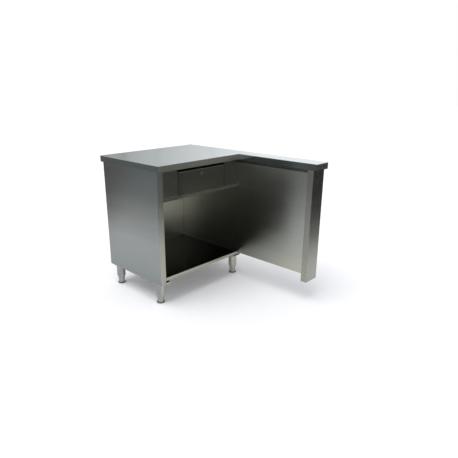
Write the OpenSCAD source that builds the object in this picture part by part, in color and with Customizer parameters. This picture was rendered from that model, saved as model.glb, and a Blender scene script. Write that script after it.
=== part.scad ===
// Cash counter of folded stainless steel sheet under an L-shaped worktop.
// The main arm is a cabinet with a cash drawer over an open shelf. A slim double-skinned
// wall stands at its right and runs on past the front as a wing beside the operator.
// X runs to the operator's right, Y towards the customer, Z up from the floor.
// The origin is on the floor under the middle of the worktop's outline.

/* [Worktop] */
// Width over both sides
counter_w = 818; // [780:2:1200]
// Depth of the main arm
main_d = 606; // [580:2:800]
// Width of the wing's arm
wing_w = 122; // [110:1:180]
// Reach of the wing past the operator's edge
wing_l = 616; // [300:2:900]
// Height of the working surface
top_h = 900; // [850:5:1000]
// Height of the folded edge band
top_edge = 40; // [34:1:50]
// Width of the return under the edge band
top_return = 15; // [12:1:20]
// Thickness of the worktop's sheet
top_t = 1.5; // [1:0.1:2.5]
// Depth of the hat channels under the worktop
top_rib_h = 25; // [15:1:28]
// Width of a hat channel's crown
rib_w = 40; // [30:1:60]
// Width of a hat channel's brims
rib_brim = 12; // [8:1:16]

/* [Cabinet] */
// Thickness of the body's sheets
skin_t = 1.2; // [0.8:0.1:1.5]
// Inner radius of the folds
bend_in = 0.8; // [0.4:0.1:1.2]
// Height of the cabinet's underside above the floor
body_z = 140; // [125:1:150]
// Setback of the cabinet's front under the worktop
front_set = 10; // [4:1:12]
// Setback of the cabinet's back under the worktop
rear_set = 30; // [20:1:60]
// Width of the left side's front stile
stile_w = 40; // [30:1:55]
// Depth of the stile's inner lip
stile_lip = 12; // [8:1:16]
// Width of the seam flanges behind panel edges
seam_w = 25; // [18:1:30]
// Height of the shelf's deck above the floor
shelf_z = 188; // [182:1:230]
// Depth of the shelf's front lip
shelf_lip = 22; // [18:1:30]
// Width of the return under the shelf's lip
lip_return = 10; // [6:1:12]
// Height of the hat channel under the shelf
shelf_rib_h = 25; // [15:1:30]
// Height of the rail between drawer and shelf space
rail_h = 19; // [15:1:30]
// Depth of the rail's and the front panels' returns
front_return = 15; // [12:1:18]

/* [Wall and wing] */
// Overhang of the worktop past the wall's outer skin
side_set = 5; // [2:1:9]
// Overhang of the worktop past the wing's end
end_set = 20; // [10:1:40]
// Width of the return on the wing end's inner side
post_return = 41; // [25:1:60]
// Height of the outer skin's lower edge above the floor
skirt_z = 134; // [120:1:150]
// Height of the strip under the worktop along the wing
strip_h = 17; // [10:1:30]
// How far the shelf runs in under the wall's inner skin
shelf_tuck = 24; // [20:1:28]
// Number of studs between the wall's skins
stud_count = 4; // [3:1:6]
// Width of a stud's flanges
stud_flange = 30; // [20:1:40]

/* [Cash drawer] */
// Distance from the left side to the drawer's opening
drawer_x = 155; // [120:1:170]
// Width of the drawer's opening
opening_w = 412; // [380:1:460]
// Height of the drawer's front
drawer_h = 143; // [140:1:180]
// Height of the finger gap over the drawer's front
finger_gap = 19; // [15:1:30]
// Gap beside and under the drawer's front, and under the fixed panels
drawer_gap = 3; // [1:0.5:3]
// Thickness of the drawer's hollow front
drawer_front_t = 18; // [16:1:20]
// Height of the drawer box
box_h = 100; // [80:1:115]
// Depth of the drawer box
box_d = 470; // [460:2:500]
// Height of the drawer box above its front's lower edge
box_lift = 6; // [4:1:10]
// Width of the rolled edge on the box's walls
box_hem = 8; // [5:1:10]

/* [Drawer slides] */
// Height of a slide
slide_h = 45; // [45:1:50]
// Thickness of a slide between cabinet and drawer box
slide_w = 12.7; // [12.7:0.1:14]
// Length of the three members
slide_l = 450; // [430:2:460]
// Thickness of the members' sheet
slide_t = 1.2; // [1:0.1:1.3]
// Diameter of the balls
ball_d = 4.6; // [4:0.1:4.8]
// Play of a ball against each track
ball_play = 0.05; // [0.02:0.01:0.1]
// Length of a ball cage
cage_l = 190; // [150:2:200]
// Balls in one row of a cage
ball_count = 6; // [4:1:8]

/* [Drawer lock] */
// Distance of the lock below the top of the drawer's front
lock_drop = 32; // [24:1:40]
// Diameter of the lock's bezel
bezel_d = 20; // [19:0.5:24]
// Diameter of the lock's body
lock_d = 16; // [15:0.5:18]
// Diameter of the turning barrel
barrel_d = 11; // [9:0.5:12]
// Length of the cam from the barrel's axis
cam_l = 46; // [44:1:50]
// Width of the cam
cam_w = 14; // [12:1:16]

/* [Legs and feet] */
// Distance of the legs' axes from the cabinet's front and back
leg_set = 63; // [60:1:100]
// Distance of the left legs' axes from the left side
leg_left = 38; // [38:1:60]
// Distance of the right legs' axes past the wall's inner skin
leg_right = 34; // [34:1:40]
// Outer diameter of a leg's sleeve
leg_d = 60; // [54:1:62]
// Wall of a leg's sleeve
leg_wall = 1.5; // [1.2:0.1:3]
// Height of the sleeve's lower end above the floor
sleeve_z = 58; // [46:1:62]
// Largest diameter of a foot
foot_d = 48; // [40:1:50]
// Diameter of a foot's pad
pad_d = 54; // [50:1:60]
// Thickness of a foot's pad
pad_h = 8; // [5:1:12]
// Diameter of a foot's stem
stem_d = 12; // [10:1:16]
// Width of the square plate on top of a leg
plate_w = 72; // [70:1:72]
// Thickness of the plate and of the leg channels
plate_t = 2.5; // [2:0.5:3]
// Width of a leg channel
channel_w = 76; // [74:1:80]
// Height of the lip at a leg channel's front end
channel_lip = 14; // [10:1:18]
// Diameter of the leg bolts
bolt_d = 6; // [5:1:6]

/* [Hidden] */
$fn = 64;

steel = [0.74, 0.75, 0.75];
dark_steel = [0.56, 0.57, 0.57];
zinc = [0.80, 0.81, 0.83];
black = [0.12, 0.12, 0.13];

// Flats that stand for the arc of one fold
bend_n = 4;
// Clearances: between pieces that move past each other, and round bolts
seat_gap = 0.3;
run_gap = 0.05;
bolt_play = 0.3;
// How far a cutter reaches past the face that it opens
over = 1;

// Planes of the worktop's outline
x_left = -counter_w / 2;
x_right = counter_w / 2;
y_rear = (main_d + wing_l) / 2;
y_edge = y_rear - main_d;
x_in = x_right - wing_w;
z_under = top_h - top_edge;
z_deck = top_h - top_t;

// Planes of the cabinet and the wall
y_face = y_edge + front_set;
y_back = y_rear - rear_set;
y_lining = y_back - 2 * skin_t;
x_out = x_right - side_set;
y_end = -y_rear + end_set;
x_skin = x_in + skin_t;
x_cavity = x_skin + skin_t;
x_shelf = x_skin + shelf_tuck;
z_shelf = shelf_z - skin_t;

// Planes of the drawer
open_x0 = x_left + drawer_x;
open_x1 = open_x0 + opening_w;
drawer_mid = (open_x0 + open_x1) / 2;
front_z1 = z_under - finger_gap;
front_z0 = front_z1 - drawer_h;
rail_z1 = front_z0 - drawer_gap;
rail_z0 = rail_z1 - rail_h;
front_half = opening_w / 2 - drawer_gap;
hanger_half = opening_w / 2 + skin_t;
box_half = hanger_half - slide_w;
liner_y = y_face + drawer_front_t;
box_y = liner_y + skin_t;
box_z = front_z0 + box_lift;

// Slide members: heights from the balls' size, places across the slide's thickness
track = ball_d + 2 * ball_play;
middle_h = slide_h - 2 * slide_t - 2 * track;
inner_h = middle_h - 2 * slide_t - 2 * track;
cage_t = 0.8;
cage_play = 0.4;
middle_u = slide_t + cage_t + 2 * cage_play;
inner_u = middle_u + slide_t + cage_t + 2 * cage_play;
// How far short of the drawer box the limbs of the members and cages end
outer_end = 2.2;
middle_end = 1.8;
outer_cage_end = 3;
inner_cage_end = 2.6;
slide_set = 2;
slide_y = box_y + slide_set;
slide_z = box_z + box_h / 2;
cage_y = slide_y + slide_l / 3;

// Lock
lock_z = front_z1 - lock_drop;
bezel_t = 3;
lock_nut_t = 3;
lock_nut_d = bezel_d + 4;
lock_tail = 7;
lock_len = drawer_front_t + skin_t + lock_tail;
key_w = 2;
key_h = 8;
key_slot = 8;
cam_t = 2.5;
cam_y = y_face + lock_len + seat_gap;
stub_d = barrel_d - 3;
screw_d = 4;
screw_l = 10;
screw_head = 2.5;
keeper_w = 26;
keeper_t = 2;
keeper_flange = 24;
keeper_set = 2.3;
keeper_lift = 2;
keeper_y = box_y + keeper_set;
keeper_z = front_z1 + keeper_lift;

// Worktop channels
rib_z = z_deck - top_rib_h;
rib_half = rib_w / 2 + rib_brim;
rib_end = 4;
rib_inset = top_return + rib_end;
front_rib_y = keeper_y + keeper_flange / 2 + rib_half;
rear_rib_y = y_lining - seam_w - rib_half;
rib_rows = [front_rib_y, (front_rib_y + rear_rib_y) / 2, rear_rib_y];

// Legs
leg_x = [x_left + leg_left, x_skin + leg_right];
leg_y = [y_face + leg_set, y_back - leg_set];
channel_y1 = y_lining - seam_w;
plate_margin = 2;
channel_y0 = leg_y[0] - plate_w / 2 - plate_margin;
web_y = y_face + max(stile_lip, lip_return) + plate_margin;
plug_h = 20;
stem_head = 12;
stem_top = body_z - plate_t - stem_head;
bolt_edge = 8;
bolt_at = plate_w / 2 - bolt_edge;
head_d = bolt_d * 10 / 6 / cos(30);
head_h = bolt_d * 2 / 3;
nut_h = bolt_d * 5 / 6;
bolt_tail = 4;
foot_round = 1;
foot_cone = 14;
foot_rim = 3;
foot_waist = 3;
stem_chamfer = 1;
pad_bevel = 3;

// Unit vector, the direction at its left, and a vector turned by an angle
function unit(v) = v / norm(v);
function left_of(v) = [-v[1], v[0]];
function turned(v, a) = [v[0] * cos(a) - v[1] * sin(a), v[0] * sin(a) + v[1] * cos(a)];
// Left normal of the leg of a path that starts at point k
function normal(path, k) = left_of(unit(path[k + 1] - path[k]));
// Points on the bend at corner k of a path, for the sheet's near face or its far one:
// the face inside the bend has the inner radius, and the other lies a thickness further out
function bend(path, k, t, far) =
    let (
        a = normal(path, k - 1),
        b = normal(path, k),
        way = a[0] * b[1] - a[1] * b[0] > 0 ? 1 : -1,
        angle = acos(a * b),
        centre = path[k] + way * (bend_in + (way > 0 ? t : 0)) * (a + b) / (1 + a * b),
        r = bend_in + ((way > 0) == far ? 0 : t)
    )
    [for (j = [0:bend_n]) centre - way * r * turned(a, way * angle * j / bend_n)];
// One face of a folded sheet: the path itself, or its offset by the thickness t to the left
function sheet_face(path, t, far) =
    let (n = len(path) - 1, d = far ? t : 0)
    concat(
        [path[0] + d * normal(path, 0)],
        [for (k = [1:n - 1]) each bend(path, k, t, far)],
        [path[n] + d * normal(path, n - 1)]
    );

// Section of a folded sheet: its near face follows the path, its thickness lies to the left
module fold(path, t = skin_t) {
    far = sheet_face(path, t, true);
    polygon(concat(sheet_face(path, t, false), [for (k = [len(far) - 1:-1:0]) far[k]]));
}

// Extrusions of a section along each axis; the section's height is Z, or Y in plan
module along_x(x0, x1) translate([x0, 0, 0]) rotate([90, 0, 90]) linear_extrude(x1 - x0) children();
module along_y(y0, y1) translate([0, y1, 0]) rotate([90, 0, 0]) linear_extrude(y1 - y0) children();
module along_z(z0, z1) translate([0, 0, z0]) linear_extrude(z1 - z0) children();

// Block between two corners
module block(low, high) translate(low) cube(high - low);

// Outline of the L-shaped worktop, drawn in by an inset all round
module l_plan(inset) polygon([
    [x_left + inset, y_edge + inset],
    [x_in + inset, y_edge + inset],
    [x_in + inset, -y_rear + inset],
    [x_right - inset, -y_rear + inset],
    [x_right - inset, y_rear - inset],
    [x_left + inset, y_rear - inset]
]);

// Hat section hanging from height 0: crown below, brims against what it stiffens
module hat(h, t = skin_t) fold([
    [rib_w / 2 + rib_brim, 0], [rib_w / 2, 0], [rib_w / 2, t - h],
    [-rib_w / 2, t - h], [-rib_w / 2, 0], [-rib_w / 2 - rib_brim, 0]
], t);

// Rectangle whose two corners at v1 are rounded
module eased(u0, u1, v0, v1, r) {
    translate([u0, v0]) square([u1 - u0, v1 - v0 - r]);
    translate([u0 + r, v0]) square([u1 - u0 - 2 * r, v1 - v0]);
    for (u = [u0 + r, u1 - r]) translate([u, v1 - r]) circle(r);
}

// Block whose four upper edges are folded ones of radius r
module eased_block(low, high, r) intersection() {
    along_x(low[0], high[0]) eased(low[1], high[1], low[2], high[2], r);
    along_y(low[1], high[1]) eased(low[0], high[0], low[2], high[2], r);
}

// Pan between two corners, open below: top and four walls folded from one sheet
module pan(low, high, t) difference() {
    eased_block(low, high, t + bend_in);
    eased_block(low + [t, t, -over], high - [t, t, t], bend_in);
}

// Shallow pan of a front panel, its face towards the operator
module face_pan(x0, x1, z0, z1, depth)
    rotate([90, 0, 0]) pan([x0, z0, -y_face - depth], [x1, z1, -y_face], skin_t);

// Worktop: one sheet with its edge band folded down and a return folded in under it
module worktop() color(steel) difference() {
    union() {
        eased_block([x_left, y_edge, z_under], [x_right, y_rear, top_h], top_t + bend_in);
        eased_block([x_in, -y_rear, z_under], [x_right, y_rear, top_h], top_t + bend_in);
    }
    eased_block([x_left + top_t, y_edge + top_t, z_under + top_t],
        [x_right - top_t, y_rear - top_t, z_deck], bend_in);
    eased_block([x_in + top_t, top_t - y_rear, z_under + top_t],
        [x_right - top_t, y_rear - top_t, z_deck], bend_in);
    along_z(z_under - over, z_under + top_t + over) l_plan(top_return);
}

// Three hat channels across the main arm, brims bonded to the underside of the deck
module worktop_channels() color(dark_steel) for (y = rib_rows)
    along_x(x_left + rib_inset, x_right - rib_inset) translate([y, z_deck]) hat(top_rib_h);

// Hat channel along the wing's arm, up to the front cross channel
module wing_channel() color(dark_steel)
    along_y(-y_rear + rib_inset, front_rib_y - rib_half) translate([(x_in + x_right) / 2, z_deck])
        hat(top_rib_h);

// Left side: one sheet with a front stile, its inner lip, a rear flange and a top flange
module left_side() color(steel) {
    along_z(body_z, z_under) fold([
        [x_left + seam_w, y_back], [x_left, y_back], [x_left, y_face],
        [x_left + stile_w, y_face], [x_left + stile_w, y_face + stile_lip]
    ]);
    block([x_left + skin_t / 2, y_face + skin_t, z_under - skin_t], [x_left + seam_w, y_lining, z_under]);
}

// Outer skin of the wall: along the right side, round the wing's end and back on its inner face
module outer_skin() color(steel) {
    along_z(skirt_z, z_under) fold([
        [x_in, y_end + post_return], [x_in, y_end], [x_out, y_end],
        [x_out, y_back], [x_out - seam_w, y_back]
    ]);
    block([x_out - seam_w, y_end + skin_t, z_under - skin_t], [x_out - skin_t / 2, y_lining, z_under]);
}

// Inner skin of the wall: from behind the wing end's return to the back panel, with
// flanges into the wall at its rear, top and bottom edges
module inner_skin() color(steel) {
    y0 = y_end + post_return / 2;
    along_z(shelf_z, z_under) fold([[x_skin + seam_w, y_lining], [x_skin, y_lining], [x_skin, y0]]);
    for (z = [shelf_z, z_under - skin_t])
        block([x_skin + skin_t / 2, y0, z], [x_skin + seam_w, y_lining - skin_t / 2, z + skin_t]);
}

// Strip under the worktop along the wing, level with the edge band and with the end's return
module wing_strip() color(steel)
    block([x_in, y_end + post_return, z_under - strip_h], [x_skin, y_face, z_under]);

// Back panel between the side's and the outer skin's rear flanges
module back_panel() color(steel) {
    block([x_left + skin_t + bend_in, y_lining, body_z],
        [x_out - skin_t - bend_in, y_lining + skin_t, z_under]);
    for (z = [body_z, z_under - skin_t])
        block([x_left + seam_w, y_lining - seam_w + skin_t, z], [x_skin, y_lining, z + skin_t]);
}

// Fixed panel between the stile and the drawer
module front_panel_left() color(steel)
    face_pan(x_left + stile_w, open_x0, front_z0, z_under, front_return);

// Fixed panel between the drawer and the wall
module front_panel_right() color(steel)
    face_pan(open_x1, x_skin, front_z0, z_under, front_return);

// Rail between the drawer and the shelf space: a channel open to the rear
module front_rail() color(steel) along_x(x_left + stile_w, x_skin) fold([
    [y_face + front_return, rail_z1], [y_face, rail_z1],
    [y_face, rail_z0], [y_face + front_return, rail_z0]
]);

// Shelf: one sheet folded down at the rear and round the front lip, notched round the
// stile, and tucked under the wall's inner skin
module shelf() color(steel) {
    rear = [[y_lining, shelf_z - shelf_lip], [y_lining, shelf_z]];
    along_x(x_left + stile_w, x_shelf) fold(concat(rear, [
        [y_face, shelf_z], [y_face, shelf_z - shelf_lip], [y_face + lip_return, shelf_z - shelf_lip]
    ]));
    along_x(x_left + skin_t, x_left + stile_w) fold(concat(rear, [[y_face + stile_lip, shelf_z]]));
}

// Hat channel under the middle of the shelf, from one leg channel to the other
module shelf_channel() color(dark_steel)
    along_x(leg_x[0] + channel_w / 2, leg_x[1] - channel_w / 2)
        translate([(y_face + y_lining) / 2, z_shelf]) hat(shelf_rib_h);

// Floor of the wall, level with the shelf, turned down where it meets the outer skin
module wall_base() color(dark_steel) {
    y0 = y_end + skin_t;
    x1 = x_out - skin_t;
    along_z(z_shelf, shelf_z) polygon([
        [x_skin, y0 + bend_in], [x_skin + bend_in, y0], [x1 - bend_in, y0], [x1, y0 + bend_in],
        [x1, y_lining], [x_shelf, y_lining], [x_shelf, y_face], [x_skin, y_face]
    ]);
    block([x1 - skin_t, y0 + bend_in, shelf_z - seam_w], [x1, y_lining, shelf_z]);
}

// Studs between the wall's two skins, spaced evenly over its length
module wall_studs() color(dark_steel) {
    pitch = (y_lining - y_end) / (stud_count + 1);
    for (k = [1:stud_count]) {
        y = y_end + k * pitch;
        along_z(shelf_z + skin_t, z_under - skin_t) fold([
            [x_cavity, y + stud_flange], [x_cavity, y],
            [x_out - skin_t, y], [x_out - skin_t, y + stud_flange]
        ]);
    }
}

// Holes for the leg bolts at one corner pattern, cut from z0 to z1
module bolt_holes(x, y, z0, z1) for (dx = [-bolt_at, bolt_at], dy = [-bolt_at, bolt_at])
    translate([x + dx, y + dy, z0]) cylinder(d = bolt_d + 2 * bolt_play, h = z1 - z0);

// Leg channel under the cabinet's left: base notched round the stile, lip at the front end
module leg_channel_left() color(steel) {
    x0 = x_left + skin_t;
    x1 = leg_x[0] + channel_w / 2;
    difference() {
        along_z(body_z, body_z + plate_t) polygon([
            [x_left + stile_w, y_face], [x1, y_face], [x1, channel_y1],
            [x0, channel_y1], [x0, y_face + stile_lip], [x_left + stile_w, y_face + stile_lip]
        ]);
        for (y = leg_y) bolt_holes(leg_x[0], y, body_z - over, body_z + plate_t + over);
    }
    block([x_left + stile_w, y_face, body_z], [x1, y_face + plate_t, body_z + channel_lip]);
    block([x0, web_y, body_z], [x0 + plate_t, channel_y1, z_shelf]);
    block([x1 - plate_t, web_y, body_z], [x1, channel_y1, z_shelf]);
}

// Leg channel under the wall, set back from the front
module leg_channel_right() color(steel) {
    x0 = leg_x[1] - channel_w / 2;
    x1 = x0 + channel_w;
    difference() {
        along_y(channel_y0, channel_y1) fold([
            [x0, z_shelf], [x0, body_z], [x1, body_z], [x1, z_shelf]
        ], plate_t);
        for (y = leg_y) bolt_holes(leg_x[1], y, body_z - over, body_z + plate_t + over);
    }
}

// Leg: sleeve with a square plate on top and a tapped plug in its lower end
module leg(x, y) color(steel) difference() {
    union() {
        translate([x, y, sleeve_z]) cylinder(d = leg_d, h = body_z - plate_t - sleeve_z);
        block([x - plate_w / 2, y - plate_w / 2, body_z - plate_t], [x + plate_w / 2, y + plate_w / 2, body_z]);
    }
    translate([x, y, sleeve_z + plug_h])
        cylinder(d = leg_d - 2 * leg_wall, h = body_z - plate_t - sleeve_z - plug_h);
    translate([x, y, sleeve_z - over]) cylinder(d = stem_d + 2 * run_gap, h = plug_h + 2 * over);
    bolt_holes(x, y, body_z - plate_t - over, body_z + over);
}
module leg_front_left() leg(leg_x[0], leg_y[0]);
module leg_front_right() leg(leg_x[1], leg_y[0]);
module leg_rear_left() leg(leg_x[0], leg_y[1]);
module leg_rear_right() leg(leg_x[1], leg_y[1]);

// Foot: turned from bar, drawn in above its rim and widening to its crown, with the stem
// that screws into the leg's plug
module foot(x, y) color(steel) {
    crown = foot_d / 2;
    waist = crown - foot_waist;
    top = sleeve_z - seat_gap;
    translate([x, y, 0]) rotate_extrude() polygon([
        [0, pad_h], [crown, pad_h], [crown, pad_h + foot_rim], [waist, pad_h + foot_rim + foot_waist],
        [crown, sleeve_z - foot_cone], [crown, top - foot_round], [crown - foot_round, top],
        [stem_d / 2, top], [stem_d / 2, stem_top - stem_chamfer],
        [stem_d / 2 - stem_chamfer, stem_top], [0, stem_top]
    ]);
}
module foot_front_left() foot(leg_x[0], leg_y[0]);
module foot_front_right() foot(leg_x[1], leg_y[0]);
module foot_rear_left() foot(leg_x[0], leg_y[1]);
module foot_rear_right() foot(leg_x[1], leg_y[1]);

// Pad under a foot
module pad(x, y) color(black) translate([x, y, 0]) rotate_extrude() polygon([
    [0, 0], [pad_d / 2 - pad_bevel / 3, 0], [pad_d / 2, pad_bevel / 3], [pad_d / 2, pad_h - pad_bevel],
    [pad_d / 2 - pad_bevel, pad_h], [0, pad_h]
]);
module pad_front_left() pad(leg_x[0], leg_y[0]);
module pad_front_right() pad(leg_x[1], leg_y[0]);
module pad_rear_left() pad(leg_x[0], leg_y[1]);
module pad_rear_right() pad(leg_x[1], leg_y[1]);

// Places of all the leg bolts
module at_bolts() for (x = leg_x, y = leg_y, dx = [-bolt_at, bolt_at], dy = [-bolt_at, bolt_at])
    translate([x + dx, y + dy, 0]) children();

// Hexagon bolts, heads under the legs' plates
module leg_bolts() color(zinc) at_bolts() {
    translate([0, 0, body_z - plate_t - head_h]) cylinder(d = head_d, h = head_h, $fn = 6);
    translate([0, 0, body_z - plate_t]) cylinder(d = bolt_d, h = 2 * plate_t + nut_h + bolt_tail);
}

// Nuts inside the leg channels
module leg_nuts() color(zinc) at_bolts() translate([0, 0, body_z + plate_t]) difference() {
    cylinder(d = head_d, h = nut_h, $fn = 6);
    translate([0, 0, -over]) cylinder(d = bolt_d + 2 * run_gap, h = nut_h + 2 * over);
}

// Draws for the drawer's left side, or mirrored for its right; local x is the distance
// from the hanger's face into the drawer's space
module on_side(right) translate([drawer_mid, 0, 0]) mirror([right ? 1 : 0, 0, 0])
    translate([-hanger_half, 0, 0]) children();

// Hanger: plate from the front panel to the back panel, hung from the worktop's channels
module hanger(right) color(dark_steel) on_side(right) {
    z0 = front_z0 + skin_t;
    block([-skin_t, y_face + skin_t + bend_in, z0], [0, y_lining, z_under - skin_t]);
    block([-seam_w, y_lining - skin_t, z0], [0, y_lining, z_under - skin_t]);
    block([-skin_t, rib_rows[0] - rib_half, z_under - skin_t], [0, rib_rows[2] + rib_half, rib_z]);
    block([-seam_w, rib_rows[0] - rib_half, rib_z - skin_t], [0, rib_rows[2] + rib_half, rib_z]);
}
module hanger_left() hanger(false);
module hanger_right() hanger(true);

// Channel section open away from u0, reaching to u1
module slide_section(u0, u1, h, t) fold([[u1, h / 2], [u0, h / 2], [u0, -h / 2], [u1, -h / 2]], t);
// Lays a section along the slide, at the slide's height
module slide_run(y0, length) along_y(y0, y0 + length) translate([0, slide_z]) children();

// Outer member, on the hanger
module slide_outer(right) color(zinc) on_side(right)
    slide_run(slide_y, slide_l) slide_section(0, slide_w - outer_end, slide_h, slide_t);
module slide_outer_left() slide_outer(false);
module slide_outer_right() slide_outer(true);

// Middle member, between the two rows of balls
module slide_middle(right) color(zinc) on_side(right)
    slide_run(slide_y, slide_l) slide_section(middle_u, slide_w - middle_end, middle_h, slide_t);
module slide_middle_left() slide_middle(false);
module slide_middle_right() slide_middle(true);

// Inner member, on the drawer box's wall, open towards the hanger
module slide_inner(right) color(zinc) on_side(right)
    slide_run(slide_y, slide_l) fold([
        [inner_u, -inner_h / 2], [slide_w, -inner_h / 2], [slide_w, inner_h / 2], [inner_u, inner_h / 2]
    ], slide_t);
module slide_inner_left() slide_inner(false);
module slide_inner_right() slide_inner(true);

// Ball cage: strip folded into a channel of height h, with the balls held in its two limbs
module cage(right, u0, u1, h) color(zinc) on_side(right) {
    slide_run(cage_y, cage_l) slide_section(u0, u1, h, cage_t);
    for (k = [0:ball_count - 1], side = [-1, 1])
        translate([(u0 + u1 + cage_t) / 2, cage_y + (k + 0.5) * cage_l / ball_count,
            slide_z + side * (h - cage_t) / 2])
            sphere(d = ball_d);
}
// Height of a cage whose limbs lie in the middle of the track outside a member of height h
function cage_h(h) = h + track + cage_t;
module outer_cage(right) cage(right, slide_t + cage_play, slide_w - outer_cage_end, cage_h(middle_h));
module outer_cage_left() outer_cage(false);
module outer_cage_right() outer_cage(true);
module inner_cage(right) cage(right, middle_u + slide_t + cage_play, slide_w - inner_cage_end, cage_h(inner_h));
module inner_cage_left() inner_cage(false);
module inner_cage_right() inner_cage(true);

// Cylinder along Y on the lock's axis
module lock_cylinder(d, y0, y1) translate([drawer_mid, y1, lock_z]) rotate([90, 0, 0])
    cylinder(d = d, h = y1 - y0);

// Drawer front: tray of sheet with the lock's hole
module drawer_front() color(steel) difference() {
    face_pan(drawer_mid - front_half, drawer_mid + front_half, front_z0, front_z1, drawer_front_t);
    lock_cylinder(lock_d + 2 * run_gap, y_face - over, y_face + skin_t + over);
}

// Liner that closes the drawer front from behind
module drawer_liner() color(steel) difference() {
    block([drawer_mid - front_half, liner_y, front_z0], [drawer_mid + front_half, box_y, front_z1]);
    lock_cylinder(lock_d + 2 * run_gap, liner_y - over, box_y + over);
}

// Drawer box: floor and side walls from one sheet, rolled edges, rear wall, front tabs
module drawer_box() color(steel) translate([drawer_mid, 0, 0]) {
    along_y(box_y, box_y + box_d) fold([
        [box_hem - box_half, box_z + box_h], [-box_half, box_z + box_h], [-box_half, box_z],
        [box_half, box_z], [box_half, box_z + box_h], [box_half - box_hem, box_z + box_h]
    ]);
    block([-box_half, box_y + box_d - skin_t, box_z], [box_half, box_y + box_d, box_z + box_h]);
    for (side = [0, 1]) mirror([side, 0, 0])
        block([-box_half, box_y, box_z], [box_hem - box_half, box_y + skin_t, box_z + box_h]);
}

// Keeper: angle hung from the front channel, which the turned cam catches behind
module lock_keeper() color(dark_steel) along_x(drawer_mid - keeper_w / 2, drawer_mid + keeper_w / 2) fold([
    [keeper_y + keeper_flange + keeper_t, rib_z], [keeper_y, rib_z], [keeper_y, keeper_z]
], keeper_t);

// Lock body: bezel in front, bored for the barrel
module lock_body() color(zinc) difference() {
    union() {
        lock_cylinder(bezel_d, y_face - bezel_t, y_face);
        lock_cylinder(lock_d, y_face, y_face + lock_len);
    }
    lock_cylinder(barrel_d + 2 * run_gap, y_face - bezel_t - over, y_face + lock_len + over);
}

// Round nut that clamps the lock against the liner
module lock_nut() color(zinc) difference() {
    lock_cylinder(lock_nut_d, box_y, box_y + lock_nut_t);
    lock_cylinder(lock_d + 2 * run_gap, box_y - over, box_y + lock_nut_t + over);
}

// Barrel: turns in the body, slotted for the key, with a stub for the cam
module lock_barrel() color(zinc) difference() {
    union() {
        lock_cylinder(barrel_d, y_face - bezel_t, cam_y);
        lock_cylinder(stub_d, cam_y, cam_y + cam_t);
    }
    translate([drawer_mid - key_w / 2, y_face - bezel_t - over, lock_z - key_h / 2])
        cube([key_w, key_slot + over, key_h]);
    lock_cylinder(screw_d + 2 * run_gap, cam_y + cam_t - screw_l, cam_y + cam_t + over);
}

// Cam: flat arm with round ends, pointing left while the drawer is unlocked
module lock_cam() color(zinc) translate([drawer_mid, 0, lock_z]) difference() {
    along_y(cam_y, cam_y + cam_t) {
        circle(d = cam_w);
        translate([cam_w / 2 - cam_l, 0]) circle(d = cam_w);
        translate([cam_w / 2 - cam_l, -cam_w / 2]) square([cam_l - cam_w / 2, cam_w]);
    }
    along_y(cam_y - over, cam_y + cam_t + over) circle(d = stub_d + 2 * run_gap);
}

// Screw that holds the cam on the barrel
module cam_screw() color(zinc) {
    lock_cylinder(barrel_d, cam_y + cam_t, cam_y + cam_t + screw_head);
    lock_cylinder(screw_d, cam_y + cam_t - screw_l + 1, cam_y + cam_t);
}

worktop();
worktop_channels();
wing_channel();
left_side();
outer_skin();
inner_skin();
wing_strip();
back_panel();
front_panel_left();
front_panel_right();
front_rail();
shelf();
shelf_channel();
wall_base();
wall_studs();
leg_channel_left();
leg_channel_right();
leg_front_left();
leg_front_right();
leg_rear_left();
leg_rear_right();
foot_front_left();
foot_front_right();
foot_rear_left();
foot_rear_right();
pad_front_left();
pad_front_right();
pad_rear_left();
pad_rear_right();
leg_bolts();
leg_nuts();
hanger_left();
hanger_right();
slide_outer_left();
slide_outer_right();
slide_middle_left();
slide_middle_right();
slide_inner_left();
slide_inner_right();
outer_cage_left();
outer_cage_right();
inner_cage_left();
inner_cage_right();
drawer_front();
drawer_liner();
drawer_box();
lock_keeper();
lock_body();
lock_nut();
lock_barrel();
lock_cam();
cam_screw();
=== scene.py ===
from math import cos, pi, radians, sin

import bmesh
import bpy
from mathutils import Matrix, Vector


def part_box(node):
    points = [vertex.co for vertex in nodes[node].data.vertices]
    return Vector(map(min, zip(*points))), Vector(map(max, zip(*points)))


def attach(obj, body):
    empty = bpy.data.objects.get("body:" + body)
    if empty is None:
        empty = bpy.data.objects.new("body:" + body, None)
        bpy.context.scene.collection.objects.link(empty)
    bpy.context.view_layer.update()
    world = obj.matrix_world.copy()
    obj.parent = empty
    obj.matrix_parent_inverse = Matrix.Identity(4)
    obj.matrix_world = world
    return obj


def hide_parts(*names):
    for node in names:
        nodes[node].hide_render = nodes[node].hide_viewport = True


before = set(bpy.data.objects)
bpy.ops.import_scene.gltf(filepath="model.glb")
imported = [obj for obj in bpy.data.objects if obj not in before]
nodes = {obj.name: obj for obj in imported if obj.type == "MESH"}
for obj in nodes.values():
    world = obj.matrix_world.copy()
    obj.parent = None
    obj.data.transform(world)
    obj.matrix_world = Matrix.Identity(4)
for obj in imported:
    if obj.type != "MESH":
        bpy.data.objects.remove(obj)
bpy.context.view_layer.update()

# Legs
# Round stainless tube, polished, 60 mm across, with a square plate welded on top and a tapped
# plug in its lower end. The weld is a rippled bead laid round the tube by hand.


def shader(name):
    """A new material, its node tree and its principled shader."""
    material = bpy.data.materials.new(name)
    material.use_nodes = True
    tree = material.node_tree
    return material, tree, tree.nodes["Principled BSDF"]


def feed(tree, node, **inputs):
    """Gives a node's inputs, named or numbered as i0, i1, values or joins them to sockets."""
    for name, value in inputs.items():
        numbered = name[0] == "i" and name[1:].isdigit()
        socket = node.inputs[int(name[1:]) if numbered else name.replace("_", " ")]
        if isinstance(value, bpy.types.NodeSocket):
            tree.links.new(value, socket)
        else:
            socket.default_value = value
    return node


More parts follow.
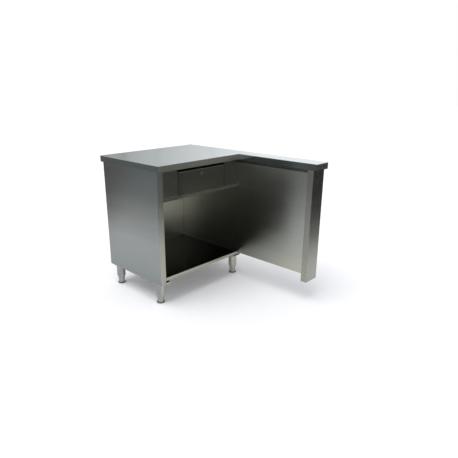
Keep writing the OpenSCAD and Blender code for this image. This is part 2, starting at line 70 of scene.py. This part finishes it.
def add(tree, kind, operation=None, **inputs):
    """A node of that kind, with its inputs fed."""
    made = tree.nodes.new(kind)
    if operation:
        made.operation = operation
    return feed(tree, made, **inputs)


def maths(tree, operation, a, b=0.0, c=0.0):
    """The result of one sum on numbers."""
    return add(tree, "ShaderNodeMath", operation, i0=a, i1=b, i2=c).outputs[0]


def blended(tree, factor, first, second, kind="RGBA"):
    """The mix of two colours, or of two vectors."""
    made = add(tree, "ShaderNodeMix")
    made.data_type = kind
    return feed(tree, made, Factor=factor, A=first, B=second).outputs["Result"]


def noise(tree, vector, scale=1.0, detail=2.0):
    """Noise from 0 to 1, with that many waves to a unit of its vector."""
    made = add(tree, "ShaderNodeTexNoise", Vector=vector, Scale=scale, Detail=detail)
    return made.outputs["Fac"]


def varied(tree, mean, *spans):
    """A number that noises spread about its mean, each over a span of its own."""
    level = mean - sum(span for _, span in spans) / 2
    for source, span in spans:
        level = maths(tree, "MULTIPLY_ADD", source, span, level)
    return level


def brushed(name, colour, roughness, turned_by="Z", streak=1.0, stretch=0.8, wave=1.0, turned=None):
    """Steel brushed with a belt. With turned_by Z its scratches are crossed by Y on faces that look
    up or down and by Z on all others. With Y they are crossed by Z on faces that look to the front
    or back and by Y on all others. Streak is how much single scratches show, stretch how far they
    draw a reflection out, and wave how far the sheet is from flat. Turned is a colour and a
    roughness of their own for the faces that turned_by names."""
    material, tree, steel = shader(name)
    place = add(tree, "ShaderNodeTexCoord").outputs
    facing = add(tree, "ShaderNodeSeparateXYZ", Vector=place["Normal"]).outputs[turned_by]
    # The faces within about 45 degrees of that way.
    named = maths(tree, "GREATER_THAN", maths(tree, "ABSOLUTE", facing), 0.7)
    y_way, z_way = (0, 1, 0), (0, 0, 1)
    elsewhere, there = (z_way, y_way) if turned_by == "Z" else (y_way, z_way)
    across = blended(tree, named, elsewhere, there, "VECTOR")

    def grain(along, over, detail=2.0):
        """Noise with that many waves a metre along the grain and across it."""
        scale = add(tree, "ShaderNodeVectorMath", "MULTIPLY_ADD", i0=across,
                    i1=(over - along,) * 3, i2=(along,) * 3)
        scaled = add(tree, "ShaderNodeVectorMath", "MULTIPLY", i0=place["Object"],
                     i1=scale.outputs[0])
        return noise(tree, scaled.outputs[0], detail=detail)

    # Single scratches, bundles of them, long lines, and then clouds and the swell of the sheet.
    fine, band, lines = grain(25, 2600), grain(4, 420), grain(1.5, 75)
    cloud, swell = grain(0.6, 9), grain(1.3, 3.5, 1.0)
    gloss = varied(tree, roughness, (fine, 0.02 * streak), (band, 0.02 * streak), (cloud, 0.04))
    shade = varied(tree, 1.0, (band, 0.14 * streak), (lines, 0.16 * streak), (cloud, 0.16 * wave))
    base = colour
    if turned:
        own_colour, own_roughness = turned
        gloss = maths(tree, "MULTIPLY_ADD", named, own_roughness - roughness, gloss)
        base = blended(tree, named, (*colour, 1), (*own_colour, 1))
    tint = add(tree, "ShaderNodeVectorMath", "SCALE", i0=base, Scale=shade)
    hollows = add(tree, "ShaderNodeBump", Strength=0.2 * wave, Distance=0.002, Height=swell)
    feed(tree, steel, Base_Color=tint.outputs[0], Roughness=gloss, Normal=hollows.outputs[0],
         Tangent=across, Metallic=1.0, Anisotropic=stretch)
    return material


def dress(material, *names):
    """Gives CAD nodes their finish."""
    for name in names:
        nodes[name].data.materials.clear()
        nodes[name].data.materials.append(material)


def put(name, mesh, material, body, slot, *stands_for):
    """A new piece in its place, with its finish unless its mesh has one, its body and the nodes
    that it stands for. Its slot is not used."""
    piece = bpy.data.objects.new(name, mesh)
    bpy.context.scene.collection.objects.link(piece)
    if material:
        mesh.materials.clear()
        mesh.materials.append(material)
    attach(piece, body)
    if stands_for:
        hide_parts(*stands_for)


def geometry(name, sizes):
    """An empty geometry tree with named number inputs, and the sockets of those inputs."""
    tree = bpy.data.node_groups.new(name, "GeometryNodeTree")
    tree.interface.new_socket("Geometry", in_out="INPUT", socket_type="NodeSocketGeometry")
    for label, size in sizes.items():
        kind = "NodeSocketInt" if isinstance(size, int) else "NodeSocketFloat"
        tree.interface.new_socket(label, in_out="INPUT", socket_type=kind)
    tree.interface.new_socket("Geometry", in_out="OUTPUT", socket_type="NodeSocketGeometry")
    return tree, tree.nodes.new("NodeGroupInput").outputs


def copied(tree, size, form, material):
    """Ends a tree: its form is set on each point, and the copies are made real and dressed."""
    placed = add(tree, "GeometryNodeInstanceOnPoints", Points=size["Geometry"],
                 Instance=form.outputs[0])
    real = add(tree, "GeometryNodeRealizeInstances", i0=placed.outputs[0])
    dressed = add(tree, "GeometryNodeSetMaterial", i0=real.outputs[0], Material=material)
    feed(tree, tree.nodes.new("NodeGroupOutput"), i0=dressed.outputs[0])


def grown(tree, sizes, places):
    """The plain mesh that an ended tree makes at those places with those sizes."""
    points = bpy.data.meshes.new("points")
    points.from_pydata(places, [], [])
    holder = bpy.data.objects.new(tree.name, points)
    bpy.context.scene.collection.objects.link(holder)
    modifier = holder.modifiers.new(tree.name, "NODES")
    modifier.node_group = tree
    for item in tree.interface.items_tree:
        if item.in_out == "INPUT" and item.name in sizes:
            modifier[item.identifier] = sizes[item.name]
    seen = holder.evaluated_get(bpy.context.evaluated_depsgraph_get())
    mesh = bpy.data.meshes.new_from_object(seen)
    bpy.data.objects.remove(holder)
    return mesh


def circle(tree, radius, steps):
    """A round curve of that many steps."""
    return add(tree, "GeometryNodeCurvePrimitiveCircle", Radius=radius, Resolution=steps)


def rod(tree, path, radius, sides, capped=False):
    """A rod of that radius along a curve."""
    return add(tree, "GeometryNodeCurveToMesh", Curve=path.outputs[0],
               Profile_Curve=circle(tree, radius, sides).outputs[0], Fill_Caps=capped)


def middle(node):
    """The middle of a CAD node in plan."""
    low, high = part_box(node)
    return (low[0] + high[0]) / 2, (low[1] + high[1]) / 2


CORNERS = ("front_left", "front_right", "rear_left", "rear_right")
tube_steel = brushed("polished tube", (0.49, 0.49, 0.46), 0.12, streak=0.4, stretch=0.3, wave=0)
dress(tube_steel, *("leg_" + corner for corner in CORNERS))

plate_low, plate_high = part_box("leg_front_left")
plate_w = plate_high[0] - plate_low[0]
plate_t = 0.0025
tube_r, weld_gap = 0.030, 0.0006
ripple_steps, bead_sides = 6, 10
weld = {"Radius": tube_r + weld_gap, "Bead": 0.0017, "Ripple": 0.0004, "Ripples": 58}
tree, size = geometry("weld bead", weld)
ring = circle(tree, size["Radius"], ripple_steps * weld["Ripples"])
bead = rod(tree, ring, size["Bead"], bead_sides)
where = add(tree, "GeometryNodeInputPosition").outputs[0]
split = add(tree, "ShaderNodeSeparateXYZ", Vector=where).outputs
turn = maths(tree, "ARCTAN2", split["Y"], split["X"])
wave = maths(tree, "SINE", maths(tree, "MULTIPLY", turn, size["Ripples"]))
outwards = add(tree, "GeometryNodeInputNormal").outputs[0]
swing = add(tree, "ShaderNodeVectorMath", "SCALE", i0=outwards,
            Scale=maths(tree, "MULTIPLY", wave, size["Ripple"]))
rippled = add(tree, "GeometryNodeSetPosition", Geometry=bead.outputs[0], Offset=swing.outputs[0])
weld_steel = brushed("weld", (0.42, 0.40, 0.37), 0.34, streak=0.4, stretch=0.0, wave=0)
copied(tree, size, rippled, weld_steel)
tops = [(*middle("leg_" + corner), plate_high[2] - plate_t) for corner in CORNERS]
put("leg_welds", grown(tree, weld, tops), None, "counter", "tube_steel")

# Feet
# Turned from stainless bar, drawn in above the rim, each on a black moulded pad. The threaded
# stem runs up into the leg's plug, so that the foot can be screwed out to level the counter.


def lathed(name, profile, centre, steps=72):
    """A closed mesh turned about an upright axis from (radius, height) points."""
    mesh = bpy.data.meshes.new(name)
    shape = bmesh.new()
    path = [shape.verts.new((centre[0] + r, centre[1], z)) for r, z in profile]
    edges = [shape.edges.new(pair) for pair in zip(path, path[1:])]
    bmesh.ops.spin(shape, geom=path + edges, cent=(*centre, 0), axis=(0, 0, 1), angle=2 * pi,
                   steps=steps, use_merge=True)
    bmesh.ops.remove_doubles(shape, verts=shape.verts, dist=1e-6)
    bmesh.ops.recalc_face_normals(shape, faces=shape.faces)
    shape.to_mesh(mesh)
    shape.free()
    return mesh


def smooth(mesh, angle=35):
    """Smooth shading, kept sharp where faces meet at more than that angle in degrees."""
    mesh.polygons.foreach_set("use_smooth", [True] * len(mesh.polygons))
    mesh.set_sharp_from_angle(angle=radians(angle))


def arc(centre, r, start, end, steps=6):
    """Points on an arc in a profile, between two angles in degrees."""
    turns = [radians(start + (end - start) * k / steps) for k in range(steps + 1)]
    return [(centre[0] + r * cos(t), centre[1] + r * sin(t)) for t in turns]


pad_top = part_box("pad_front_left")[1][2]
foot_low, foot_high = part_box("foot_front_left")
foot_r, stem_top = (foot_high[0] - foot_low[0]) / 2, foot_high[2]
seat_gap = 0.0003
crown_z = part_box("leg_front_left")[0][2] - seat_gap
foot_steel = brushed("turned foot", (0.46, 0.46, 0.45), 0.09, streak=0.3, stretch=0.2, wave=0)
edge, rim, waist, waist_h = 0.001, 0.003, 0.003, 0.004
cone_h, cone_set, collar = 0.013, 0.0004, 0.004
waist_z = pad_top + rim + waist
stem_r, thread_depth, pitch, bare_end = 0.006, 0.0009, 0.00175, 0.003
core_r = stem_r - thread_depth
profile = ([(0, pad_top), (foot_r - edge, pad_top)]
           + arc((foot_r - edge, pad_top + edge), edge, -90, 0, 4)
           + arc((foot_r, waist_z), waist, -90, -180)[:-1]
           + [(foot_r - waist, waist_z + waist_h), (foot_r - cone_set, crown_z - cone_h)]
           + arc((foot_r - edge, crown_z - edge), edge, 0, 90, 4)
           + [(stem_r + collar, crown_z), (core_r, crown_z), (core_r, stem_top - edge),
              (core_r - edge, stem_top), (0, stem_top)])
turn_steps, ridge_sides = 24, 4
thread = {"Radius": core_r, "Depth": thread_depth, "Pitch": pitch,
          "Turns": (stem_top - bare_end - crown_z) / pitch}
tree, size = geometry("stem thread", thread)
rise = maths(tree, "MULTIPLY", size["Turns"], size["Pitch"])
helix = add(tree, "GeometryNodeCurveSpiral", Resolution=turn_steps, Rotations=size["Turns"],
            Start_Radius=size["Radius"], End_Radius=size["Radius"], Height=rise)
copied(tree, size, rod(tree, helix, size["Depth"], ridge_sides, capped=True), tube_steel)
for corner in CORNERS:
    centre = middle("foot_" + corner)
    mesh = lathed("foot", profile, centre)
    smooth(mesh)
    put("turned_foot_" + corner, mesh, foot_steel, "foot_" + corner, "tube_steel", "foot_" + corner)
    mesh = grown(tree, thread, [(*centre, crown_z + pitch)])
    put("stem_thread_" + corner, mesh, None, "foot_" + corner, "tube_steel")


def own_place(tree):
    """A point's place on its piece."""
    return add(tree, "ShaderNodeTexCoord").outputs["Object"]


rubber, tree, skin = shader("moulded pad")
pores = noise(tree, own_place(tree), scale=900.0, detail=3.0)
dents = add(tree, "ShaderNodeBump", Strength=0.2, Distance=0.0002, Height=pores)
feed(tree, skin, Base_Color=(0.12, 0.12, 0.12, 1), Normal=dents.outputs[0],
     Roughness=varied(tree, 0.425, (pores, 0.25)))
dress(rubber, *("pad_" + corner for corner in CORNERS))

# Leg channels and their bolts
# Channels of thick sheet under the cabinet and the wall, brushed like the body. Each leg's plate
# is held by four hexagon bolts from below, each with a plain hexagon nut inside the channel.
sheet_steel = brushed("brushed sheet", (0.43, 0.435, 0.42), 0.26, streak=0.6, stretch=0.85,
                      wave=1.7)
dress(sheet_steel, "leg_channel_left", "leg_channel_right")


def plated(name, colour, spots, roughness, spread):
    """Plated metal with a spotted gloss, with that many spots a metre."""
    material, tree, metal = shader(name)
    gloss = noise(tree, own_place(tree), spots)
    feed(tree, metal, Base_Color=(*colour, 1), Metallic=1.0,
         Roughness=varied(tree, roughness, (gloss, spread)))
    return material


zinc = plated("bright zinc", (0.62, 0.64, 0.67), spots=160.0, roughness=0.30, spread=0.20)

bolt = {"Across": 0.010, "Head": 0.004, "Shank": 0.0030, "Nut": 0.005, "Reach": 0.014, "Sides": 6}
bolt_edge, shank_sides = 0.008, 20
eased, eased_share = 0.0005, 0.88
bolt_at = plate_w / 2 - bolt_edge
head_top = plate_high[2] - plate_t
nut_seat = plate_high[2] + plate_t + eased
holes = [(x + dx, y + dy) for x, y in (middle("leg_" + corner) for corner in CORNERS)
         for dx in (-bolt_at, bolt_at) for dy in (-bolt_at, bolt_at)]


def lifted(tree, form, height, share):
    """A form moved up by a share of a height."""
    up = add(tree, "ShaderNodeCombineXYZ", Z=maths(tree, "MULTIPLY", height, share))
    return add(tree, "GeometryNodeTransform", Geometry=form.outputs[0], Translation=up.outputs[0])


def hexagon(tree, size, height, both_ends=False):
    """A hexagon prism with a smaller step that eases its edges below, or at both ends."""
    radius = maths(tree, "DIVIDE", size["Across"], 2 * cos(radians(30)))
    prism = add(tree, "GeometryNodeMeshCylinder", Vertices=size["Sides"], Radius=radius,
                Depth=height).outputs
    ends = prism["Bottom"]
    if both_ends:
        ends = add(tree, "FunctionNodeBooleanMath", "OR", i0=prism["Top"], i1=ends).outputs[0]
    raised = add(tree, "GeometryNodeExtrudeMesh", Mesh=prism["Mesh"], Selection=ends,
                 Offset_Scale=eased)
    return add(tree, "GeometryNodeScaleElements", Geometry=raised.outputs[0],
               Selection=raised.outputs["Top"], Scale=eased_share)


tree, size = geometry("hexagon bolt", bolt)
head = lifted(tree, hexagon(tree, size, size["Head"]), size["Head"], -0.5)
shank = add(tree, "GeometryNodeMeshCylinder", Vertices=shank_sides, Radius=size["Shank"],
            Depth=size["Reach"])
both = tree.nodes.new("GeometryNodeJoinGeometry")
for part in (head, lifted(tree, shank, size["Reach"], 0.5)):
    tree.links.new(part.outputs[0], both.inputs[0])
copied(tree, size, both, zinc)
mesh = grown(tree, bolt, [(x, y, head_top) for x, y in holes])
put("hexagon_bolts", mesh, None, "counter", "zinc_plate", "leg_bolts")

tree, size = geometry("hexagon nut", bolt)
nut = lifted(tree, hexagon(tree, size, size["Nut"], both_ends=True), size["Nut"], 0.5)
copied(tree, size, nut, zinc)
mesh = grown(tree, bolt, [(x, y, nut_seat) for x, y in holes])
put("hexagon_nuts", mesh, None, "counter", "zinc_plate", "leg_nuts")

# Stiffening
# Hat channels under the worktop and the shelf, studs and floor of the wall, and the hangers that
# carry the drawer, folded from plain mill sheet that is duller than the brushed panels.
mill_sheet = brushed("mill sheet", (0.40, 0.405, 0.41), 0.42, streak=0.6)
dress(mill_sheet, "worktop_channels", "wing_channel", "shelf_channel", "wall_base", "wall_studs",
      "hanger_left", "hanger_right")

# Cabinet
# Brushed sheet with its grain level: side with the front stile, back, fixed panel at the left,
# rail and shelf. The edges are folded, and the seams lie where two sheets butt.
dress(sheet_steel, "left_side")
back_steel = brushed("back sheet", (0.58, 0.58, 0.54), 0.23, streak=0.6, stretch=0.6)
dress(back_steel, "back_panel")
# The fixed panel at the left and the rail have painted shade: their front faces are darker than the
# body's sheet, and their other faces are near black for the shade in the recess and the gaps.
shaded_front_steel = brushed("front sheet painted shade", (0.10, 0.10, 0.095), 0.40, turned_by="Y", streak=0.6,
                      stretch=0.85, turned=((0.31, 0.31, 0.285), 0.22))
dress(shaded_front_steel, "front_panel_left", "front_rail")
# The shelf's deck and its faces that do not look front or back are painted near black, the shade of
# the recess. The front lip keeps the body's tone.
shaded_shelf_steel = brushed("shelf sheet painted shade", (0.13, 0.13, 0.12), 0.15, turned_by="Y", streak=0.5,
                      stretch=0.7, turned=((0.43, 0.43, 0.40), 0.26))
feed(shaded_shelf_steel.node_tree, shaded_shelf_steel.node_tree.nodes["Principled BSDF"],
     Specular_Tint=(0.5, 0.5, 0.5, 1))
dress(shaded_shelf_steel, "shelf")

# Wall and wing
# Two skins of brushed sheet over studs, with level grain. The outer one comes round the wing's end
# and back on its inner face, where it makes the post, and a strip closes the top under the worktop.
wall_steel = brushed("wall sheet", (0.52, 0.525, 0.50), 0.30, streak=0.6, stretch=0.6)
dress(wall_steel, "inner_skin")
# The strip is painted dark, the shade under the worktop's overhang.
shaded_strip_steel = brushed("strip sheet painted shade", (0.15, 0.15, 0.14), 0.26, streak=0.6, stretch=0.85)
dress(shaded_strip_steel, "wing_strip")
post_steel = brushed("post sheet", (0.36, 0.365, 0.34), 0.26, streak=0.6, stretch=0.85)
dress(post_steel, "outer_skin")

# Worktop
# One thicker sheet cut to an L and brushed finer than the body, with its grain along the main arm.
# Its edges are folded down and in again, and the band's corners are welded and dressed smooth.
top_steel = brushed("worktop steel", (0.62, 0.645, 0.65), 0.17, turned_by="Y", streak=0.3,
                    stretch=0.5, wave=0.4, turned=((0.60, 0.60, 0.555), 0.29))
dress(top_steel, "worktop")

# Drawer
# A hollow front of brushed sheet with a liner spot welded behind it, and an open box that is folded
# from one sheet. The front and the fixed panel at its right have painted shade: their front faces
# are darker than the body's sheet, and their other faces are near black.
shaded_drawer_steel = brushed("drawer sheet painted shade", (0.10, 0.10, 0.095), 0.40, turned_by="Y", streak=0.6,
                       stretch=0.85, turned=((0.22, 0.23, 0.205), 0.21))
dress(shaded_drawer_steel, "drawer_front", "front_panel_right")
dress(sheet_steel, "drawer_liner", "drawer_box")

# Slides
# Telescopic slides, one on each side of the drawer. Each has three members rolled from zinc plated
# strip, and steel balls between them that two pressed cages hold in their places.
dress(zinc, *(piece + side for side in ("left", "right") for piece in
              ("slide_outer_", "slide_middle_", "slide_inner_", "outer_cage_", "inner_cage_")))

# Lock
# Cam lock of chromed brass: a body with a rounded bezel through the drawer's front, a barrel
# with the key's slot, a cam on its tail and a round nut behind the liner.
chrome = plated("satin chrome", (0.34, 0.35, 0.34), spots=700.0, roughness=0.20, spread=0.12)
dress(chrome, "lock_nut", "lock_barrel", "lock_cam", "cam_screw")
# The keeper is painted near black, the shade of the finger gap that it shows through.
keeper_shade_steel = brushed("keeper sheet painted shade", (0.05, 0.05, 0.05), 0.45, streak=0.4)
dress(keeper_shade_steel, "lock_keeper")

body_low, body_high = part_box("lock_body")
bezel_r = (body_high[0] - body_low[0]) / 2
axis_x, axis_z = (body_low[0] + body_high[0]) / 2, (body_low[2] + body_high[2]) / 2
face_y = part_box("drawer_front")[0][1]
bezel_t, depth = face_y - body_low[1], body_high[1] - face_y
lip, lip_flat, bevel = 0.0012, 0.0022, 0.0003
neck_r, bore_r = 0.008, 0.00555
tooth, plain_neck, plain_end, thread_n = 0.0004, 0.002, 0.001, 26
thread_l = depth - plain_neck - plain_end
profile = ([(bore_r, 0), (bore_r, bezel_t - bevel), (bore_r + bevel, bezel_t)]
           + [(bezel_r - lip - lip_flat, bezel_t)]
           + arc((bezel_r - lip, bezel_t - lip), lip, 90, 0)
           + [(bezel_r, 0), (neck_r, 0)])
for k in range(thread_n):
    at = -plain_neck - thread_l * k / thread_n
    profile += [(neck_r, at), (neck_r - tooth, at - tooth)]
profile += [(neck_r - tooth, -depth), (bore_r, -depth), profile[0]]
mesh = lathed("lock body", profile, (0, 0))
mesh.transform(Matrix.Translation((axis_x, face_y, axis_z)) @ Matrix.Rotation(radians(90), 4, "X"))
smooth(mesh, 30)
put("lock_bezel", mesh, chrome, "drawer", "lock_chrome", "lock_body")

# Camera
# It stands off the counter's front left corner, 44 cm higher than the worktop, as the picture was
# taken. Its place and lens come from the counter's own straight edges.
down, left = 18.66, 45.58
camera = bpy.data.objects.new("camera", bpy.data.cameras.new("camera"))
bpy.context.scene.collection.objects.link(camera)
camera.location = (-1.9778, -1.9864, 1.3376)
camera.rotation_euler = (radians(90 - down), 0, radians(-left))
camera.data.lens = 34.70
camera.data.sensor_width = 36
camera.data.shift_x = 0.0318
camera.data.shift_y = 0.0124
bpy.context.scene.camera = camera

# Studio
# White paper floor, white surroundings and one soft lamp. The metal alone sees glowing screens
# round the counter, light at the foot and dark above, and a glowing far wall that the worktop
# mirrors, all painted reflections.


def card(name, corners, material):
    """A four-cornered sheet of the studio."""
    mesh = bpy.data.meshes.new(name)
    mesh.from_pydata(corners, [], [tuple(range(len(corners)))])
    mesh.materials.append(material)
    sheet = bpy.data.objects.new(name, mesh)
    bpy.context.scene.collection.objects.link(sheet)
    return sheet


def ramp(tree, value, start, stop, low=0.0, high=1.0):
    """A number that goes from low to high as the value goes from start to stop."""
    return add(tree, "ShaderNodeMapRange", i0=value, i1=start, i2=stop, i3=low, i4=high).outputs[0]


def ways(tree):
    """The X, Y and Z of a point's place on its piece."""
    return add(tree, "ShaderNodeSeparateXYZ", Vector=own_place(tree)).outputs


def looked_at(tree):
    """One for the rays of the camera, mirrors and glass, nought for light. Then mirrors' alone."""
    rays = add(tree, "ShaderNodeLightPath").outputs
    seen = maths(tree, "MAXIMUM", rays["Is Camera Ray"], rays["Is Glossy Ray"])
    return maths(tree, "MAXIMUM", seen, rays["Is Transmission Ray"]), rays["Is Glossy Ray"]


paper, tree, sheet = shader("studio floor")
seen, mirrored = looked_at(tree)
place = ways(tree)
x, y = place["X"], place["Y"]
# The paper as the metal mirrors it is a painted reflection: warm in front, plain behind and at the
# right, cool at the left, with a patch of painted shade at the left. The camera and the lamp's
# light see it plain.
cool = ramp(tree, x, -0.2, -0.6)
painted_shade = maths(tree, "MULTIPLY", ramp(tree, x, -1.3, -0.6), ramp(tree, x, -0.30, -0.50))
painted_shade = maths(tree, "MULTIPLY", painted_shade, ramp(tree, y, -0.6, -0.2))
behind = ramp(tree, y, -0.1, 0.2)
beside = maths(tree, "MULTIPLY", ramp(tree, x, 0.45, 0.6), ramp(tree, y, -1.1, -0.9))
plain = maths(tree, "MAXIMUM", behind, beside)
unmirrored = maths(tree, "SUBTRACT", 1.0, mirrored)
tone = (0.97, 0.97, 0.81, 1)
for factor, colour in ((plain, (0.97, 0.97, 0.96, 1)), (cool, (0.92, 0.97, 0.98, 1)),
                       (painted_shade, (0.50, 0.54, 0.57, 1)), (unmirrored, (0.97, 0.97, 0.975, 1))):
    tone = blended(tree, factor, tone, colour)
feed(tree, sheet, Base_Color=tone, Roughness=1.0, Specular_IOR_Level=0.0,
     Emission_Color=(1, 1, 1, 1), Emission_Strength=maths(tree, "MULTIPLY", seen, 0.12))
reach = 30
card("floor", [(-reach, -reach, 0), (reach, -reach, 0), (reach, reach, 0), (-reach, reach, 0)],
     paper)


def mirrored_card(name, corners, glow, colour):
    """A black sheet that glows in that colour: a painted reflection that nothing but metal sees."""
    tree = glow.node_tree
    feed(tree, tree.nodes["Principled BSDF"], Base_Color=(0, 0, 0, 1), Roughness=1.0,
         Specular_IOR_Level=0.0, Emission_Color=colour, Emission_Strength=1.0)
    sheet = card(name, corners, glow)
    for ray in ("camera", "diffuse", "shadow", "transmission", "volume_scatter"):
        setattr(sheet, "visible_" + ray, False)


west, east, south, north = -1.3, 1.5, -1.1, 1.7
nook = (-0.9, -0.01)
hem = 0.002
# Each glowing screen's start and end in plan, its height, where it fades, and its dark colour.
GLOW_SCREENS = {
    "left": ((west, north), (west, south), 1.0, (0, 0.35), (0.12, 0.14, 0.15)),
    "front": ((west, south), (east, south), 1.0, (0, 0.15), (0.03, 0.03, 0.025)),
    "right": ((east, south), (east, north), 1.0, (0, 0.35), (0.10, 0.10, 0.10)),
    "rear": ((east, north), (west, north), 1.0, (0, 0.35), (0.12, 0.12, 0.12)),
    "near": (nook, (0.268, south), 0.6, (0.28, 0.42), (0.03, 0.03, 0.025)),
    "side": ((west, 0.5), nook, 0.8, (0, 0.35), (0.06, 0.06, 0.06)),
}
for side, (start, stop, height, fade, dark) in GLOW_SCREENS.items():
    glow, tree, _ = shader("felt " + side)
    place = ways(tree)
    light = (0.95, 0.95, 0.84, 1) if side == "near" else (0.6, 0.6, 0.58, 1)
    dark = (*dark, 1)
    # The front screen's painted reflection is lighter at its left, up to x 0.05, and dark from x
    # 0.28 on.
    if side == "front":
        dark = blended(tree, ramp(tree, place["X"], 0.05, 0.28), (0.15, 0.15, 0.145, 1), dark)
    corners = [(*start, hem), (*stop, hem), (*stop, height), (*start, height)]
    mirrored_card("screen " + side, corners, glow,
                  blended(tree, ramp(tree, place["Z"], *fade), light, dark))

wall_y, wall_left, wall_right, wall_foot, wall_head = 2.6, -1.5, 7.0, 0.9, 4.5
corners = [(wall_left, wall_y, wall_foot), (wall_right, wall_y, wall_foot),
           (wall_right, wall_y, wall_head), (wall_left, wall_y, wall_head)]
glow, tree, _ = shader("far wall")
along = ways(tree)["X"]
# The wall's painted reflection grows lighter to the right, and three soft stripes cross it.
level = ramp(tree, along, 0.9, 3.8, 0.46, 1.12)
for at, width, depth in ((1.117, 0.10, 0.10), (1.645, 0.08, 0.05), (2.675, 0.10, 0.07)):
    off = maths(tree, "ABSOLUTE", maths(tree, "SUBTRACT", along, at))
    level = maths(tree, "SUBTRACT", level, ramp(tree, off, 0.0, width, depth, 0.0))
graded = add(tree, "ShaderNodeVectorMath", "SCALE", i0=(0.95, 0.99, 1.0), Scale=level)
mirrored_card("far wall", corners, glow, graded.outputs[0])

sun = bpy.data.objects.new("soft lamp", bpy.data.lights.new("soft lamp", "SUN"))
sun.data.energy = 1.45
sun.data.angle = radians(46)
sun.rotation_euler = (radians(-4), radians(-18), 0)
sun.visible_glossy = False
bpy.context.scene.collection.objects.link(sun)

world = bpy.data.worlds.new("studio")
world.use_nodes = True
bpy.context.scene.world = world
tree = world.node_tree
seen, _ = looked_at(tree)
feed(tree, tree.nodes["Background"], Strength=maths(tree, "MULTIPLY_ADD", seen, 0.40, 0.60),
     Color=blended(tree, seen, (0.93, 0.94, 1, 1), (1, 1, 1, 1)))

bpy.context.scene.view_settings.view_transform = "Standard"
